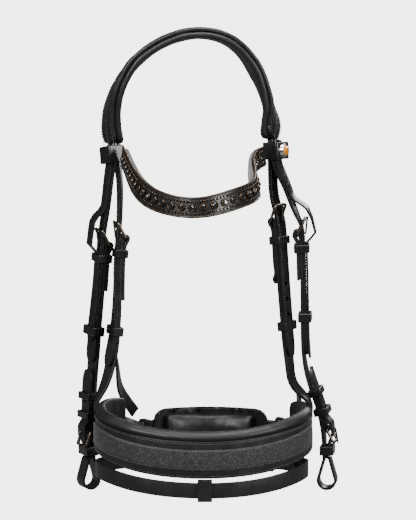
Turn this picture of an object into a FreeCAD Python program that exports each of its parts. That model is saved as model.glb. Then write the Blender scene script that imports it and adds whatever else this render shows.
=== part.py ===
import FreeCAD, Part
import math
import os

# Snaffle bridle with a crank noseband and a flash strap, hung from its headpiece.
# Millimetres, +Z up. The origin is on the underside of the headpiece, at the poll. The front of
# the bridle (browband, noseband front) looks to -Y. +X is the horse's near (left) side, -X its
# off side. Every strap follows a Route: a hand-chosen line with the way its outer face looks.

Vec = FreeCAD.Vector

# ---- leather ---------------------------------------------------------------------------------
MAIN_T = 3.0            # cheekpieces and noseband slings
BILLET_T = 2.6          # billets that run over them
THROAT_T = 2.0          # throatlash billets
KEEPER_T = 1.6          # wall of a keeper or runner loop
LAYER_GAP = 0.3         # air between two layers of one stack
LOOP_GAP = 0.4          # air between a stack and the loop round it
CHEEK_W = 16.0          # 5/8 in cheekpieces
SLING_W = 15.0          # noseband sling straps
THROAT_W = 12.0         # throatlash billets
REAR_LEG_W = 12.0       # rear legs of the slings
HOLE_D = 4.6            # punched holes
HOLE_PITCH = 15.5       # along the billets
STEP = 9.0              # distance between the sections of a strap

# ---- crown -----------------------------------------------------------------------------------
CROWN_POLL_W = 46.0     # front to back at the poll
CROWN_END_W = 34.0      # front to back where the billets come out
CROWN_LEATHER_T = 3.2
CROWN_PAD_T = 6.6

# ---- browband --------------------------------------------------------------------------------
BROW_H = 18.0           # height of the band
BROW_BASE_T = 2.0
BROW_LINING_T = 3.0
BROW_LOOP_H = 17.0      # height of the leather loops round the billets
STONE_D = 7.4           # large stones
STONE_PITCH = 10.2
STONE_T = 2.6
SMALL_STONE_D = 2.6
SMALL_STONE_PITCH = 3.4
SMALL_STONE_T = 1.6
STUD_D = 14.0           # bezel of the stud on the near loop
STUD_STONE_D = 10.4
BROW_SLIDE = 5.0        # how far the browband slips down the billets
BROW_LOOP_W = CHEEK_W + 3.0                 # room inside a loop, across the billets
BROW_LOOP_SLACK = 0.8
STONE_GAP = 0.25        # a setting's flat base over the curved band

# ---- buckles ---------------------------------------------------------------------------------
BUCKLE_R = 1.4          # radius of the frame's wire
BUCKLE_SIDE_GAP = 0.8   # strap edge to frame
BUCKLE_BEND = 2.4       # corner bend of the frame, on its centre line
HEEL_GAP = 0.15         # fold of leather round the heel bar
PRONG_R = 1.0
PRONG_GAP = 0.05        # running clearance of the prong's eye on the heel bar
PRONG_EYE_T = 1.3
PRONG_EYE_W = 3.6
PRONG_TIP = 2.0         # length of the prong past the far bar
PRONG_LIFT = 8.0        # degrees that a prong lifts in its hole
BUCKLE_L = 15.0         # heel bar to far bar, along the strap
FAR_GAP = 0.8           # billet to the far bar over it
FOLD_RUN = 9.0          # past the heel bar, where the fold's tail meets the main strap
THROAT_ROOM = 4.6       # prong's rest to the throatlash billet over it, so that it can lift
THROAT_HUMP = (-40.0, -23.0, 0.0, 9.0)      # where that billet rises and falls, from the bar
THROAT_STOPS = (-40.0, -35.0, -29.0, -23.0, -17.0, -11.0, 0.0, 4.5, 9.0)
SHORT_KEEPER = 8.0      # lengths of the loops along the strap
LONG_RUNNER = 9.0
RUNNER_SLACK = 0.6      # a runner's extra room all round, so that it passes the straps' bends

# ---- bit ends --------------------------------------------------------------------------------
BIT_LOOP_R = 7.5        # inside radius of the loop that holds a bit ring
BIT_LOOP_DROP = 22.0    # last keeper line to the centre of the loop
CHAPE_T = 1.6           # thin leather of the bit buckle's chape
CHAPE_TAIL = 8.0        # outer turn of a chape, back from its bar
BIT_GAP = 0.5           # between the layers of a bit end, which curve more
BIT_BILLET_T = 2.6
BIT_FAR_RISE = 5.6      # far bar over the heel bar
BIT_HUMP = (-13.0, -5.0, 4.0, 14.0)         # where the billet rises over the heel bar
BIT_KEEPER = 7.0
BIT_SLACK = 0.7         # a bit keeper stands off its stack

# ---- noseband --------------------------------------------------------------------------------
NOSE_PANEL_T = 3.0
NOSE_PAD_T = 8.0
NOSE_FRONT_H = 36.0     # leather panel, at the front
NOSE_SIDE_H = 32.0
NOSE_END_H = 22.0
NOSE_ROLL = 9.0         # padded roll above the panel's top edge
NOSE_MID_Z = -405.0     # middle of the panel at the front
SLING_SHY = 0.6         # slings end just above the panel they are sewn behind
NOSE_END_FROM = 0.72    # share of the way to an end where the panel starts to narrow
PAD_INSET = 4.0         # padding short of the panel's ends
TRIM_H = 20.0
TRIM_T = 1.0
TRIM_INSET = 34.0       # trim short of the panel's ends
CRANK_W = 20.0
CRANK_T = 2.6
CHIN_R = 100.0          # bend of the jaw strap behind the chin
CHIN_CENTRE = (8.0, -20.0, -405.0)
CHIN_PAD_L = 128.0
CHIN_PAD_H = 36.0
CHIN_PAD_T = 13.0
CHIN_FLANGE = 4.0       # leather flange round the cushion
CHIN_BACK_T = 2.2
CHIN_CORNER = 14.0      # rounded end of the chin pad
CRANK_BAR_BACK = 118.0  # roller to the heel bar, along the strap
CRANK_TAIL = 44.0       # strap past the heel bar
CRANK_CHAPE_L = 22.0
CRANK_KEEPER_BACK = 24.0
CRANK_KEEPER_L = 7.0
CRANK_FAR_RISE = 5.2
CRANK_HUMP = (-13.0, -5.0, 5.0, 15.0)       # where the strap rises over the heel bar
ROLLER_R = 3.6
ROLLER_GAP = 0.08
ROLLER_ROOM = 0.5       # roller to the strap round it
ROLLER_WALL = 1.6
ROLLER_FALL = 30.0      # along the strap, where its two layers close up
RING_L = 11.0           # roller to the ring's other bar
RING_SIDE = 1.2
RING_BEND = 2.4
TAB_T = 2.0
TAB_L = 16.0            # the tab's stitched tail
FLASH_W = 15.0
FLASH_T = 2.6
FLASH_SWING = 6.0       # degrees that the flash ring drops in its loop
FLASH_LOOP_W = 14.0
FLASH_LOOP_T = 1.8
FLASH_ROOM = 10.7       # panel's lower edge to the flash strap's middle
FLASH_DROP = NOSE_MID_Z - NOSE_FRONT_H / 2 - FLASH_ROOM
FLASH_LAP = 60.0        # billet end that laps over the folded one
FLASH_TAIL = 34.0

PARTS = "parts"


class Frame:
    """A place on a route: t runs along it, n out of its outer face, a across it."""

    def __init__(self, p, t, look):
        self.p = p
        self.t = Vec(t).normalize()
        self.n = (look - self.t * look.dot(self.t)).normalize()
        self.a = self.t.cross(self.n)

    def at(self, across, out, along=0.0):
        return self.p + self.a * across + self.n * out + self.t * along

    def placement(self, out=0.0, along=0.0, back=False):
        """Local X across, Y along the route (or back along it), Z outwards."""
        sign = -1.0 if back else 1.0
        x, y, z = self.a * sign, self.t * sign, self.n
        o = self.at(0, out, along)
        return FreeCAD.Placement(FreeCAD.Matrix(
            x.x, y.x, z.x, o.x, x.y, y.y, z.y, o.y, x.z, y.z, z.z, o.z, 0, 0, 0, 1))


class Route:
    """A smooth line through hand-chosen stations: (x, y, z) and the way the outer face looks.

    The look is a yaw in degrees from the front towards the near side, or a vector.
    """

    def __init__(self, stations):
        points = [Vec(*station[:3]) for station in stations]
        self.curve = Part.BSplineCurve()
        self.curve.interpolate(Points=points)
        self.first = self.curve.FirstParameter
        self.length = self.curve.length()
        self.marks = [self.curve.length(self.first, self.curve.parameter(p)) for p in points[1:]]
        self.marks.insert(0, 0.0)
        self.looks = [look_vector(station[3]) for station in stations]

    def look(self, s):
        if s <= 0:
            return self.looks[0]
        for i in range(len(self.marks) - 1):
            if s <= self.marks[i + 1]:
                f = (s - self.marks[i]) / (self.marks[i + 1] - self.marks[i])
                return self.looks[i] * (1 - f) + self.looks[i + 1] * f
        return self.looks[-1]

    def frame(self, s):
        inside = min(max(s, 0.0), self.length)
        u = self.curve.parameterAtDistance(inside, self.first)
        t = Vec(*self.curve.tangent(u)[0])
        return Frame(self.curve.value(u) + t * (s - inside), t, self.look(s))

    def at_height(self, z):
        """Distance along a falling route where it passes the height z."""
        low, high = 0.0, self.length
        for _ in range(40):
            mid = (low + high) / 2
            if self.curve.value(self.curve.parameterAtDistance(mid, self.first)).z > z:
                low = mid
            else:
                high = mid
        return (low + high) / 2


def look_vector(look):
    if isinstance(look, tuple):
        return Vec(*look).normalize()
    yaw = math.radians(look)
    return Vec(math.sin(yaw), -math.cos(yaw), 0)


def value(item, s):
    return item(s) if callable(item) else item


def stops(start, end, extra=()):
    """Section places from start to end: the route's own grid, and the extra ones.

    Layers of one stack share the grid, so their faces stay parallel.
    """
    grid = [i * STEP for i in range(int(start / STEP) - 1, int(end / STEP) + 2)]
    far = [place for place in grid if all(abs(place - other) > STEP / 3 for other in extra)]
    inside = sorted(place for place in far + list(extra) if start + 1 < place < end - 1)
    kept = [start]
    for place in inside:
        if place - kept[-1] > 0.9:
            kept.append(place)
    return kept + [end]


def loft(route, places, outline, ruled=False):
    """Solid through one closed outline, (across, out) points, at each place on the route."""
    wires = []
    for s in places:
        frame = route.frame(s)
        points = [frame.at(across, out) for across, out in outline(s)]
        wires.append(Part.makePolygon(points + points[:1]))
    return Part.makeLoft(wires, True, ruled)


def strap(route, start, end, low, thick, width, extra=(), ruled=False):
    """One layer of leather from start to end; low, thick and width are values or rules in s.

    A ruled one runs straight between its sections, so a steep hump doesn't make it dip beside it.
    """
    def outline(s):
        half, bottom = value(width, s) / 2, value(low, s)
        top = bottom + value(thick, s)
        return [(-half, bottom), (half, bottom), (half, top), (-half, top)]
    return loft(route, stops(start, end, extra), outline, ruled)


def cushion(route, start, end, low, thick, width, shift=0.0, extra=()):
    """A padded strip with bevelled edges."""
    def outline(s):
        half, bottom, t = value(width, s) / 2, value(low, s), value(thick, s)
        mid, bevel = value(shift, s), min(value(thick, s) * 0.36, value(width, s) * 0.3)
        return [(mid - half + bevel, bottom), (mid + half - bevel, bottom),
                (mid + half, bottom + bevel), (mid + half, bottom + t - bevel),
                (mid + half - bevel, bottom + t), (mid - half + bevel, bottom + t),
                (mid - half, bottom + t - bevel), (mid - half, bottom + bevel)]
    return loft(route, stops(start, end, extra), outline)


def pointed(width, tip, run):
    """Width rule of a billet whose rounded point ends at tip, run long."""
    def rule(s):
        left = min(max((tip - s) / run, 0.0), 1.0)
        return width * (0.3 + 0.7 * math.sqrt(left * (2 - left)))
    return rule


def tip_stops(tip, run):
    return [tip - run * f for f in (1.0, 0.7, 0.42, 0.2, 0.07)]


def ease(f):
    """Smooth step from 0 to 1."""
    f = min(max(f, 0.0), 1.0)
    return f * f * (3 - 2 * f)


def hump(s, centre, edges):
    """1 in the middle of the hump, eased up and down; edges are where it rises and falls."""
    rise, top, end, fall = (centre + edge for edge in edges)
    return ease((s - rise) / (top - rise)) * ease((fall - s) / (fall - end))


def hump_stops(centre, edges):
    """Section places that hold a hump's shape, with two more each side to keep the run flat."""
    rise, top, end, fall = edges
    places = [rise - 7, rise - 3.5, rise, (rise + top) / 2, top, (top + end) / 2, end,
              (end + fall) / 2, fall, fall + 3.5, fall + 7]
    return [centre + place for place in places]


def hole(route, s, diameter, low, high):
    frame = route.frame(s)
    return Part.makeCylinder(diameter / 2, high - low, frame.at(0, low), frame.n)


def punched(solid, route, places, low, high, diameter=HOLE_D):
    return solid.cut([hole(route, s, diameter, low, high) for s in places])


def box(x0, x1, y0, y1, z0, z1):
    return Part.makeBox(x1 - x0, y1 - y0, z1 - z0, Vec(x0, y0, z0))


def placed(shape, placement):
    copy = shape.copy()
    copy.Placement = placement.multiply(copy.Placement)
    return copy


def keeper_shape(width, stack, length):
    """Loop round a stack, in local axes: the stack's low face at z 0, its middle at x 0."""
    w, c, k = width / 2, LOOP_GAP, KEEPER_T
    outer = box(-w - c - k, w + c + k, -length / 2, length / 2, -c - k, stack + c + k)
    inner = box(-w - c, w + c, -length, length, -c, stack + c)
    return outer.makeFillet(1.2, [e for e in outer.Edges if along_y(e)]).cut(inner)


def along_y(edge):
    a, b = (v.Point for v in edge.Vertexes)
    return abs(b.y - a.y) > 0.5 * edge.Length


def keeper(route, s, width, low, stack, length):
    return placed(keeper_shape(width, stack, length), route.frame(s).placement(out=low))


def runner(route, s, width, low, stack, length):
    """A keeper that slides: the same loop with more room."""
    room = RUNNER_SLACK
    return keeper(route, s, width + 2 * room, low - room, stack + 2 * room, length)


def rod(points, radius, bend):
    """Round wire through the points, with its corners bent."""
    edges, start = [], points[0]
    for i in range(1, len(points) - 1):
        before = (points[i - 1] - points[i]).normalize()
        after = (points[i + 1] - points[i]).normalize()
        half = before.getAngle(after) / 2
        cut = bend / math.tan(half)
        a, b = points[i] + before * cut, points[i] + after * cut
        centre = points[i] + (before + after).normalize() * (bend / math.sin(half))
        mid = centre + (points[i] - centre).normalize() * bend
        edges += [Part.LineSegment(start, a).toShape(), Part.Arc(a, mid, b).toShape()]
        start = b
    edges.append(Part.LineSegment(start, points[-1]).toShape())
    path = Part.Wire(edges)
    way = (points[1] - points[0]).normalize()
    ring = Part.Wire(Part.Circle(points[0], way, radius).toShape())
    return path.makePipeShell([ring], True, False)


class Buckle:
    """A wire frame with a prong on its heel bar, in local axes.

    The heel bar lies on X through the origin, the far bar is at (y, z) = (reach, rise), and the
    billet that passes over the heel bar has its outer face at z = over.
    """

    def __init__(self, width, reach, rise, over):
        self.width, self.reach, self.rise, self.over = width, reach, rise, over
        self.half = width / 2 + BUCKLE_SIDE_GAP + BUCKLE_R

    def frame(self):
        h, y, z = self.half, self.reach, self.rise
        sides = [rod([Vec(0, 0, 0), Vec(side * h, 0, 0), Vec(side * h, y, z), Vec(0, y, z)],
                     BUCKLE_R, BUCKLE_BEND) for side in (-1, 1)]
        return sides[0].fuse(sides[1]).removeSplitter()

    def prong(self):
        hole_r, w = BUCKLE_R + PRONG_GAP, PRONG_EYE_W
        eye = Part.makeCylinder(hole_r + PRONG_EYE_T, w, Vec(-w / 2, 0, 0), Vec(1, 0, 0))
        knee = self.over + LAYER_GAP + PRONG_R
        rest = self.rise + BUCKLE_R + PRONG_R + 2 * PRONG_GAP
        tip = rest + (rest - knee) * PRONG_TIP / self.reach
        arm = rod([Vec(0, 0, hole_r + 0.4), Vec(0, 0, knee), Vec(0, self.reach + PRONG_TIP, tip)],
                  PRONG_R, PRONG_R * 1.6)
        bore = Part.makeCylinder(hole_r, 2 * w, Vec(-w, 0, 0), Vec(1, 0, 0))
        return eye.fuse(arm).cut(bore)

    def prong_slot(self, low, high):
        """What is cut from the fold of leather so that the prong's eye can turn."""
        side = PRONG_EYE_W / 2 + 0.5
        return box(-side, side, -5.0, 12.0, low, high)


def heel_fold(frame, bar_out, low, thick, width):
    """Half turn of leather round a bar; the layer it grows from has its low face at low."""
    face = Part.Face(Part.makePolygon([frame.at(x, z) for x, z in (
        (-width / 2, low), (width / 2, low), (width / 2, low + thick),
        (-width / 2, low + thick), (-width / 2, low))]))
    return face.revolve(frame.at(0, bar_out), frame.a, 180)


# ---- routes ----------------------------------------------------------------------------------
# Slings carry the noseband, cheeks carry the bit. Stations lie on the inner face of the main
# strap. The two sides hang differently, so each has its own stations.
CROWN = Route([
    (-86.5, 7, -101, (-0.86, -0.50, 0)), (-88, 5, -82, (-0.90, -0.36, 0.10)),
    (-81, 1, -51, (-0.90, -0.16, 0.36)), (-63, 0, -23, (-0.66, 0.0, 0.75)),
    (-34.5, 0, -3, (-0.34, 0.0, 0.94)), (0, 0, 5, (0, 0, 1)),
    (31.5, 0, -4, (0.48, 0.06, 0.87)), (54.5, 0, -31, (0.80, 0.16, 0.56)),
    (66.5, 2, -63, (0.94, 0.02, 0.26)), (70, 4, -86, (0.90, -0.38, 0.08)),
    (71, 5, -97, (0.86, -0.50, 0))])

CHEEK = {
    "near": Route([
        (71, 3.6, -100, 60), (71, 3, -112, 60), (72, 3.2, -123, 62), (79.5, 5, -142, 68),
        (87, 7, -162, 74), (93, 9, -177, 80), (97.5, 10, -188, 84), (99.5, 11, -202, 86),
        (100.5, 12, -222, 86), (101.3, 13, -248, 86), (102, 14, -282, 84),
        (103, 15, -309, 82), (105.6, 15, -330, 80), (110.8, 15, -349, 78),
        (116, 15, -363, 76), (121.2, 15, -380, 76), (124.5, 15, -401, 78),
        (125.5, 15, -424, 80)]),
    "off": Route([
        (-82.6, 4.6, -104, -60), (-82.8, 3.8, -116, -60), (-85, 5, -130, -60), (-89, 8, -162, -62),
        (-93.5, 11, -190, -64), (-96.5, 12, -218, -66), (-99, 14, -248, -64),
        (-103.6, 15, -289, -56), (-105.8, 16, -310, -50), (-108, 17, -336, -52),
        (-109.5, 17, -361, -54), (-110, 17, -381, -58), (-110, 17, -402, -60),
        (-110, 17, -424, -60)])}

SLING = {
    "near": Route([
        (67.5, 5.5, -100, 60), (67.8, 5, -112, 58), (68.5, 5, -127, 56), (71.5, 4, -162, 54),
        (76, 2, -178, 54), (78.5, 1, -200, 53), (81, 0, -237, 53), (84.2, 0, -277.5, 54),
        (86.8, -1, -307.6, 56), (88.6, -3, -325, 60), (93, -5, -345, 64),
        (101.5, -7, -355, 72), (108.8, -8, -363.5, 82), (110.0, -8, -372.4, 86)]),
    "off": Route([
        (-79.2, 6.8, -104, -60), (-79.3, 6, -116, -62), (-77, 4, -130, -66), (-75.5, 2, -162, -70),
        (-76.5, 0, -190, -74), (-78.5, -1, -212, -76), (-79.8, -1, -247, -76),
        (-82.3, -1, -288, -66), (-85.4, -1, -308, -54), (-88.4, -3, -323, -50),
        (-93.4, -6, -342, -58), (-99, -8, -355, -70), (-102.6, -9, -363.5, -80),
        (-103.4, -9, -370.6, -84)])}

REAR_LEG = {
    "near": Route([(88, 7, -318, 80), (93, 18, -338, 92), (98.6, 30, -358, 104),
                   (101.2, 38.5, -373, 114)]),
    "off": Route([(-84, 7, -316, -84), (-82.5, 20, -338, -100),
                  (-80.3, 38.6, -359, -112), (-72.8, 53.2, -376, -126), (-67.2, 61.2, -386, -138)])}

BROW = Route([
    (-75.5, -13, -114, (-0.97, -0.22, 0.05)), (-69, -40, -124, (-0.97, -0.20, 0.08)),
    (-60, -76, -138, (-0.88, -0.46, 0.10)), (-33, -121, -154, (-0.45, -0.88, 0.10)),
    (0.5, -135, -157, (0, -1, 0.10)), (33, -121, -150, (0.45, -0.88, 0.10)),
    (53, -86, -141, (0.90, -0.42, 0.10)), (50, -58, -130, (0.93, 0.32, 0.10)),
    (53, -34, -120, (0.92, 0.05, 0.08)), (63.5, -15, -115, (0.80, -0.50, 0.05))])

NOSE = Route([
    (-80, 42, -388, -122), (-96.5, 12, -387, -100), (-101.5, -24, -390, -73),
    (-82, -58, -397, -44), (-44, -79, -403, -18), (3, -86, -405, 0), (50, -79, -403, 18),
    (88, -58, -397, 44), (108, -25, -391, 72), (107, 10, -389, 98), (95, 36, -393, 116)])


def jaw_stations():
    """The crank strap: off side, a true arc behind the chin, and the roller on the near side."""
    cx, cy, cz = CHIN_CENTRE
    rows = [(-101, 15, -388, -102), (-93, 34, -391, -114), (-78, 49, -398, -128)]
    for degrees in range(-42, 46, 7):
        a = math.radians(degrees)
        rows.append((cx + CHIN_R * math.sin(a), cy + CHIN_R * math.cos(a), cz, 180 - degrees))
    return rows


JAW = Route(jaw_stations())
FLASH = Route([
    (75, 20, FLASH_DROP + 5, 128), (101, -12, FLASH_DROP + 8, 100),
    (104, -42, FLASH_DROP + 10, 66), (84, -68, FLASH_DROP + 6, 36),
    (45, -86, FLASH_DROP + 1, 12), (5, -92, FLASH_DROP, 0), (-36, -86, FLASH_DROP + 1, -12),
    (-78, -68, FLASH_DROP + 6, -36), (-100, -42, FLASH_DROP + 10, -66),
    (-98, -12, FLASH_DROP + 8, -100), (-70, 22, FLASH_DROP + 5, -130),
    (-32, 38, FLASH_DROP + 3, -158), (8, 42, FLASH_DROP + 3, 180), (42, 37, FLASH_DROP + 3, 160),
    (62, 30.6, FLASH_DROP + 4, 142), (77.6, 22, FLASH_DROP + 5, 128),
    (92.4, 4.4, FLASH_DROP + 6.4, 115)])

SIDES = ("near", "off")
BAR_OUT = -(BUCKLE_R + HEEL_GAP)
BILLET_LOW = MAIN_T + LAYER_GAP
THROAT_LOW = BILLET_LOW + BILLET_T + LAYER_GAP + 0.1


def above(frame_out):
    """Height over a heel bar that lies at BAR_OUT."""
    return frame_out - BAR_OUT


UPPER = {"cheek": Buckle(CHEEK_W, BUCKLE_L, above(BILLET_LOW + BILLET_T + FAR_GAP + BUCKLE_R),
                         above(BILLET_LOW + BILLET_T)),
         "sling": Buckle(SLING_W, BUCKLE_L, above(BILLET_LOW + BILLET_T + FAR_GAP + BUCKLE_R),
                         above(BILLET_LOW + BILLET_T))}

# Heights of what is on each strap: heel bar, fixed keeper, runner, billet point.
CHEEK_Z = {"near": dict(bar=-195, keeper=-209, runner=-279, tip=-318, throat_tip=-322),
           "off": dict(bar=-206, keeper=-219, runner=-293, tip=-325, throat_tip=-304)}
SLING_Z = {"near": dict(bar=-181, keeper=-200, runner=-286, tip=-317, leg=-318),
           "off": dict(bar=-198, keeper=-213, runner=-291, tip=-327, leg=-316)}
BIT_Z = {"near": dict(tip=-331, top=-357, runner=-376, bar=-394, low=-415.5, loop=-424),
         "off": dict(tip=-333, top=-360, runner=-379, bar=-396, low=-416, loop=-424)}


def crown():
    """Leather crown over its padded lining; the billets come out of its two ends."""
    def width(s):
        middle = 1 - abs(2 * s / CROWN.length - 1)
        return CROWN_END_W + (CROWN_POLL_W - CROWN_END_W) * math.sin(middle * math.pi / 2)
    low = -CROWN_PAD_T + 1.6
    pad = cushion(CROWN, 0, CROWN.length, low, CROWN_PAD_T, width)
    leather = strap(CROWN, 3, CROWN.length - 3, low + CROWN_PAD_T + LAYER_GAP, CROWN_LEATHER_T,
                    lambda s: width(s) - 5)
    return {"headpiece_pad": pad, "headpiece_crown": leather}


def billets():
    """Cheek, throatlash and noseband billets that hang from the crown."""
    out = {}
    for side in SIDES:
        cheek, sling = CHEEK[side], SLING[side]
        z, sz = CHEEK_Z[side], SLING_Z[side]
        tip, throat_tip = cheek.at_height(z["tip"]), cheek.at_height(z["throat_tip"])
        body = strap(cheek, 0, tip, BILLET_LOW, BILLET_T, pointed(CHEEK_W - 1, tip, 14),
                     tip_stops(tip, 14))
        bar = cheek.at_height(z["bar"])
        places = [bar + 0.8] + [bar + 0.8 + HOLE_PITCH * i for i in (-2, -1, 2, 3, 4)]
        out["cheek_billet_" + side] = punched(body, cheek, places, BILLET_LOW - 1,
                                              BILLET_LOW + BILLET_T + 1)
        clear = UPPER["cheek"].rise + BAR_OUT + BUCKLE_R + PRONG_R * 2 + THROAT_ROOM

        def throat_low(s, bar=bar, clear=clear):
            return THROAT_LOW + (clear - THROAT_LOW) * hump(s, bar, THROAT_HUMP)
        out["throatlash_billet_" + side] = strap(
            cheek, 0, throat_tip, throat_low, THROAT_T, pointed(THROAT_W, throat_tip, 11),
            tip_stops(throat_tip, 11) + [bar + d for d in THROAT_STOPS], ruled=True)
        tip = sling.at_height(sz["tip"])
        body = strap(sling, 0, tip, BILLET_LOW, BILLET_T, pointed(SLING_W - 1, tip, 14),
                     tip_stops(tip, 14))
        bar = sling.at_height(sz["bar"])
        places = [bar + 0.8] + [bar + 0.8 + HOLE_PITCH * i for i in (-1, 4, 5, 6)]
        out["noseband_billet_" + side] = punched(body, sling, places, BILLET_LOW - 1,
                                                 BILLET_LOW + BILLET_T + 1)
    return out


def folded_top(route, bar, end, width, buckle, tail, thick=MAIN_T):
    """Main strap from a buckle's heel bar down to end, folded round the bar, with its tail."""
    frame = route.frame(bar)
    fold_low = 2 * BAR_OUT - thick
    main = strap(route, bar, end, 0.0, thick, width)
    turn = heel_fold(frame, BAR_OUT, 0.0, thick, width)

    def tail_low(s):
        return fold_low + (-LAYER_GAP - thick - fold_low) * ease((s - bar) / FOLD_RUN)
    back = strap(route, bar, bar + tail, tail_low, thick, width,
                 [bar + FOLD_RUN * f for f in (0.33, 0.66, 1.0)])
    body = main.fuse([turn, back])
    place = frame.placement(out=BAR_OUT, back=True)
    return body.cut(placed(buckle.prong_slot(-8, 8), place))


def bit_loop(route, s, low_in, low_out, thick, width):
    """Teardrop of leather round a bit ring, from the main strap to its billet."""
    r_mid = BIT_LOOP_R + thick / 2
    half = (low_out - low_in) / 2
    reach = math.hypot(half, BIT_LOOP_DROP)
    lean = math.asin(r_mid / reach) - math.atan2(half, BIT_LOOP_DROP)
    cut = thick / 2 / math.cos(lean)
    centre = (low_in + low_out + thick) / 2
    frame = route.frame(s)

    def at(x, y):
        return frame.at(-width / 2, centre + x, y)

    def side(radius, top):
        touch = (radius * math.cos(lean), BIT_LOOP_DROP - radius * math.sin(lean))
        return [Part.LineSegment(at(-top, 0), at(-touch[0], touch[1])).toShape(),
                Part.Arc(at(-touch[0], touch[1]), at(0, BIT_LOOP_DROP + radius),
                         at(touch[0], touch[1])).toShape(),
                Part.LineSegment(at(touch[0], touch[1]), at(top, 0)).toShape()]
    outer, inner = side(r_mid + thick / 2, half + cut), side(BIT_LOOP_R, half - cut)
    caps = [Part.LineSegment(at(-half - cut, 0), at(-half + cut, 0)).toShape(),
            Part.LineSegment(at(half - cut, 0), at(half + cut, 0)).toShape()]
    face = Part.Face(Part.Wire(Part.__sortEdges__(outer + inner + caps)))
    return face.extrude(frame.a * width)


BIT_BAR_OUT = MAIN_T + BIT_GAP + CHAPE_T + HEEL_GAP + BUCKLE_R
BIT_OVER = BIT_BAR_OUT + BUCKLE_R + HEEL_GAP + CHAPE_T + LAYER_GAP
BIT_BILLET_LOW = MAIN_T + 2 * BIT_GAP + CHAPE_T
BIT = Buckle(CHEEK_W - 1, BUCKLE_L - 1, BIT_FAR_RISE, BIT_OVER + BIT_BILLET_T - BIT_BAR_OUT)


def bit_billet_low(side):
    """Rule for the billet that comes up from the bit loop and over the bit buckle's fold."""
    bar = CHEEK[side].at_height(BIT_Z[side]["bar"])

    def rule(s):
        return BIT_BILLET_LOW + (BIT_OVER - BIT_BILLET_LOW) * hump(s, bar, BIT_HUMP)
    return rule


def cheekpieces():
    out = {}
    for side in SIDES:
        route, z, bz = CHEEK[side], CHEEK_Z[side], BIT_Z[side]
        bar, loop = route.at_height(z["bar"]), route.at_height(bz["loop"])
        top = folded_top(route, bar, loop, CHEEK_W, UPPER["cheek"], 46)
        tip, heel = route.at_height(bz["tip"]), route.at_height(bz["bar"])
        width = CHEEK_W - 1

        def narrow(s, tip=tip, width=width):
            return pointed(width, -tip, 13)(-s)
        extra = [tip + 13 * f for f in (1.0, 0.7, 0.42, 0.2, 0.07)]
        extra += hump_stops(heel, BIT_HUMP)
        billet = strap(route, tip, loop, bit_billet_low(side), BIT_BILLET_T, narrow, extra)
        places = [heel - 0.8, heel - 0.8 - 2 * HOLE_PITCH]
        billet = punched(billet, route, places, BIT_BILLET_LOW - 1, BIT_OVER + MAIN_T + 1)
        teardrop = bit_loop(route, loop, 0.0, BIT_BILLET_LOW, BIT_BILLET_T, width)
        out["cheekpiece_" + side] = top.fuse([teardrop, billet])
    return out


def upper_buckles():
    """Frame, prong, fixed keeper and runner at the top of each cheekpiece and sling."""
    out, keepers = {}, {"cheek": [], "sling": []}
    for kind, routes, rows, width in (("cheek", CHEEK, CHEEK_Z, CHEEK_W),
                                      ("sling", SLING, SLING_Z, SLING_W)):
        for side in SIDES:
            route, z = routes[side], rows[side]
            place = route.frame(route.at_height(z["bar"])).placement(out=BAR_OUT, back=True)
            out["%s_buckle_%s" % (kind, side)] = placed(UPPER[kind].frame(), place)
            out["%s_prong_%s" % (kind, side)] = placed(UPPER[kind].prong(), place)
            low, stack = stack_of(kind)
            keepers[kind].append(keeper(route, route.at_height(z["keeper"]), width, low, stack,
                                        SHORT_KEEPER))
            out["%s_runner_%s" % (kind, side)] = runner(
                route, route.at_height(z["runner"]), width, 0.0, stack + low, LONG_RUNNER)
        out[kind + "_keepers"] = Part.makeCompound(keepers[kind])
    return out


def stack_of(kind):
    """Low face and height of the stack that a keeper holds."""
    low = -LAYER_GAP - MAIN_T - 0.2
    top = BILLET_LOW + BILLET_T
    if kind == "cheek":
        top = THROAT_LOW + THROAT_T
    return low, top - low


def chape(route, start, bar, low, bar_out, width):
    """Thin leather under the billet, folded round the heel bar at its lower end."""
    inner = strap(route, start, bar, low, CHAPE_T, width)
    fold_top = 2 * bar_out - low - CHAPE_T

    def outer_low(s):
        return fold_top + (low + CHAPE_T - 0.05 - fold_top) * ease((bar - s) / 7.0)
    outer = strap(route, bar - CHAPE_TAIL, bar, outer_low,
                  lambda s: CHAPE_T * (1 - (bar - s) / CHAPE_TAIL / 2), width,
                  [bar - 5, bar - 2.5])
    turn = heel_fold(route.frame(bar), bar_out, low, CHAPE_T, width)
    side = PRONG_EYE_W / 2 + 0.5
    slot = box(-side, side, -4.2, 5.0, -3.4, 8)
    return inner.fuse([outer, turn]).cut(placed(slot, route.frame(bar).placement(out=bar_out)))


def bit_ends():
    """Chape, buckle, prong, two fixed keepers and a runner above each bit loop."""
    out, chapes, keepers = {}, [], []
    width = CHEEK_W - 1
    stack = BIT_BILLET_LOW + MAIN_T
    for side in SIDES:
        route, z = CHEEK[side], BIT_Z[side]
        bar, top = route.at_height(z["bar"]), route.at_height(z["top"])
        frame = route.frame(bar)
        place = frame.placement(out=BIT_BAR_OUT)
        out["bit_buckle_" + side] = placed(BIT.frame(), place)
        out["bit_prong_" + side] = placed(BIT.prong(), place)
        chapes.append(chape(route, top - 6, bar, MAIN_T + BIT_GAP, BIT_BAR_OUT, width))
        for name, length in (("top", BIT_KEEPER), ("low", SHORT_KEEPER + 1)):
            keepers.append(keeper(route, route.at_height(z[name]), CHEEK_W, -BIT_SLACK,
                                  stack + 2 * BIT_SLACK, length))
        out["bit_runner_" + side] = runner(route, route.at_height(z["runner"]), CHEEK_W,
                                           -BIT_SLACK, stack + 2 * BIT_SLACK, BIT_KEEPER)
    out["bit_chapes"] = Part.makeCompound(chapes)
    out["bit_keepers"] = Part.makeCompound(keepers)
    return out


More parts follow.
